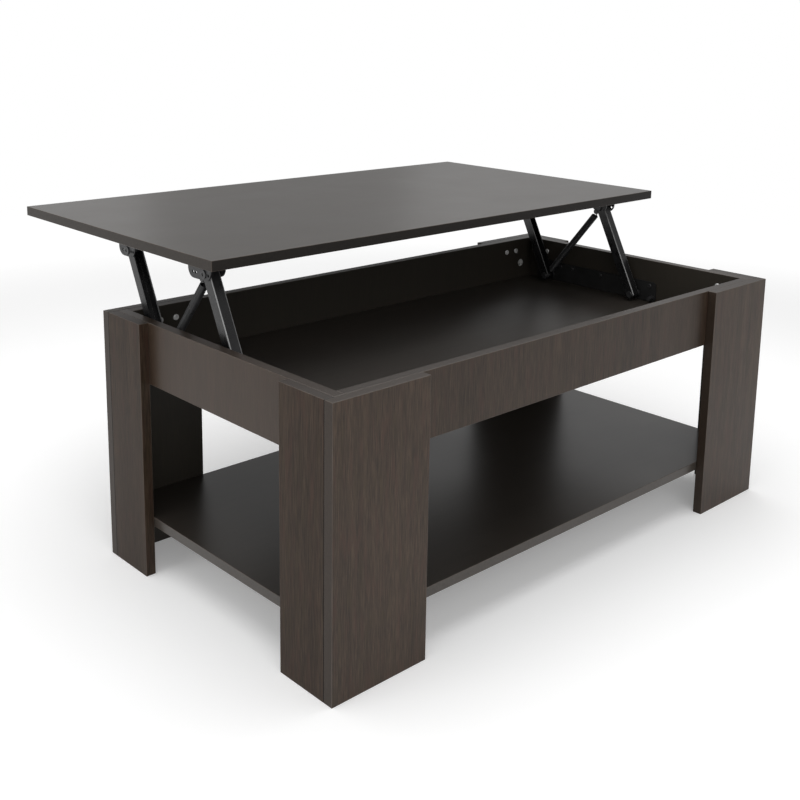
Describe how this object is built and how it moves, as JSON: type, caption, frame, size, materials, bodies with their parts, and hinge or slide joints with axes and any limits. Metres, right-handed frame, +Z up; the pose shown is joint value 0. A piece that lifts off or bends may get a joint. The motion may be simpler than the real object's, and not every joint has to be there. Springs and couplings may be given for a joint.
{
  "type": "lift top coffee table",
  "caption": "Coffee table whose lid rises and swings towards the seat on two spring-assisted parallel arm lifts, over a storage box, with board legs and a low shelf.",
  "frame": {"origin": "centre of the table's footprint, on the floor", "axes": "+X along the length, +Y towards the side over which the lid swings, where a person sits, +Z up"},
  "size_m": [1, 0.8, 0.528],
  "materials": {
    "espresso_leg_board": "melamine-faced board with a fine vertical espresso grain, satin",
    "espresso_apron_board": "melamine-faced board with a fine vertical espresso grain, satin",
    "espresso_floor_board": "dark melamine-faced board, satin",
    "espresso_shelf_board": "dark melamine-faced board, semi-gloss",
    "espresso_lid_board": "melamine-faced board, semi-gloss top with a soft sheen",
    "beech_dowel": "plain turned beech",
    "zinc_cam": "zinc die casting",
    "zinc_screw": "bright zinc plated",
    "black_screw": "black zinc plated, satin",
    "black_pin": "turned, black zinc plated, satin",
    "black_spring_steel": "black coated spring steel",
    "black_powder_coat": "fine black powder coat"
  },
  "bodies": {
    "table": {"apron_back": "espresso_apron_board", "apron_cam_bolts": "zinc_screw", "apron_cam_locks": "zinc_cam", "apron_dowels": "beech_dowel", "apron_front": "espresso_apron_board", "base_pivot_pins_left": "black_pin", "base_pivot_pins_right": "black_pin", "base_plate_left": "black_powder_coat", "base_plate_right": "black_powder_coat", "base_plate_screws": "black_screw", "compartment_floor": "espresso_floor_board", "end_panel_left": "espresso_apron_board", "end_panel_right": "espresso_apron_board", "floor_cam_bolts": "zinc_screw", "floor_cam_locks": "zinc_cam", "leg_back_left_narrow": "espresso_leg_board", "leg_back_left_wide": "espresso_leg_board", "leg_back_right_narrow": "espresso_leg_board", "leg_back_right_wide": "espresso_leg_board", "leg_dowels": "beech_dowel", "leg_front_left_narrow": "espresso_leg_board", "leg_front_left_wide": "espresso_leg_board", "leg_front_right_narrow": "espresso_leg_board", "leg_front_right_wide": "espresso_leg_board", "leg_screws": "zinc_screw", "shelf": "espresso_shelf_board", "shelf_cam_bolts": "zinc_screw", "shelf_cam_locks": "zinc_cam", "stop_pins_left": "black_pin", "stop_pins_right": "black_pin"},
    "lid": {"lid_panel": "espresso_lid_board", "lid_rail_left": "black_powder_coat", "lid_rail_right": "black_powder_coat", "lid_rail_screws": "black_screw", "top_pivot_pins_left": "black_pin", "top_pivot_pins_right": "black_pin"},
    "rear_arm_left": {"rear_arm_left": "black_powder_coat"},
    "front_arm_left": {"front_arm_left": "black_powder_coat", "spring_pin_left": "black_pin"},
    "spring_left": {"spring_coil_left": "black_spring_steel", "spring_lower_hook_left": "black_spring_steel"},
    "spring_end_left": {"spring_upper_hook_left": "black_spring_steel"},
    "rear_arm_right": {"rear_arm_right": "black_powder_coat"},
    "front_arm_right": {"front_arm_right": "black_powder_coat", "spring_pin_right": "black_pin"},
    "spring_right": {"spring_coil_right": "black_spring_steel", "spring_lower_hook_right": "black_spring_steel"},
    "spring_end_right": {"spring_upper_hook_right": "black_spring_steel"}
  },
  "joints": [
    {"name": "lift", "type": "hinge", "parent": "table", "child": "rear_arm_left", "pos_m": [-0.4507, 0.18195, 0.33244], "axis": [1, 0, 0], "range_deg": [0, 101.26]},
    {"name": "lid_level", "type": "hinge", "parent": "rear_arm_left", "child": "lid", "pos_m": [-0.4507, 0.261, 0.491], "axis": [1, 0, 0], "range_deg": [-101.27, 0]},
    {"name": "rear_arm_right_pivot", "type": "hinge", "parent": "table", "child": "rear_arm_right", "pos_m": [0.4507, 0.18195, 0.33244], "axis": [1, 0, 0], "range_deg": [0, 101.27]},
    {"name": "front_arm_left_pivot", "type": "hinge", "parent": "table", "child": "front_arm_left", "pos_m": [-0.4507, -0.02805, 0.33244], "axis": [1, 0, 0], "range_deg": [0, 101.27]},
    {"name": "front_arm_right_pivot", "type": "hinge", "parent": "table", "child": "front_arm_right", "pos_m": [0.4507, -0.02805, 0.33244], "axis": [1, 0, 0], "range_deg": [0, 101.27]},
    {"name": "spring_left_pivot", "type": "hinge", "parent": "table", "child": "spring_left", "pos_m": [-0.4507, 0.18195, 0.33244], "axis": [1, 0, 0], "range_deg": [0, 42.11]},
    {"name": "spring_left_stretch", "type": "slide", "parent": "spring_left", "child": "spring_end_left", "axis": [0, -0.6302, 0.7764], "range_m": [0, 0.18611], "deforming": ["spring_coil_left", "spring_upper_hook_left", "spring_lower_hook_left"]},
    {"name": "spring_right_pivot", "type": "hinge", "parent": "table", "child": "spring_right", "pos_m": [0.4507, 0.18195, 0.33244], "axis": [1, 0, 0], "range_deg": [0, 42.11]},
    {"name": "spring_right_stretch", "type": "slide", "parent": "spring_right", "child": "spring_end_right", "axis": [0, -0.6302, 0.7764], "range_m": [0, 0.18611], "deforming": ["spring_coil_right", "spring_upper_hook_right", "spring_lower_hook_right"]}
  ],
  "couplings": [
    {"joint": "lid_level", "follows": "lift", "ratio": -1},
    {"joint": "rear_arm_right_pivot", "follows": "lift", "ratio": 1},
    {"joint": "front_arm_left_pivot", "follows": "lift", "ratio": 1},
    {"joint": "front_arm_right_pivot", "follows": "lift", "ratio": 1},
    {"joint": "spring_left_pivot", "follows": "lift", "ratio": 0.41575},
    {"joint": "spring_left_stretch", "follows": "lift", "m_per_rad": 0.10525},
    {"joint": "spring_right_pivot", "follows": "lift", "ratio": 0.41575},
    {"joint": "spring_right_stretch", "follows": "lift", "m_per_rad": 0.10525}
  ]
}
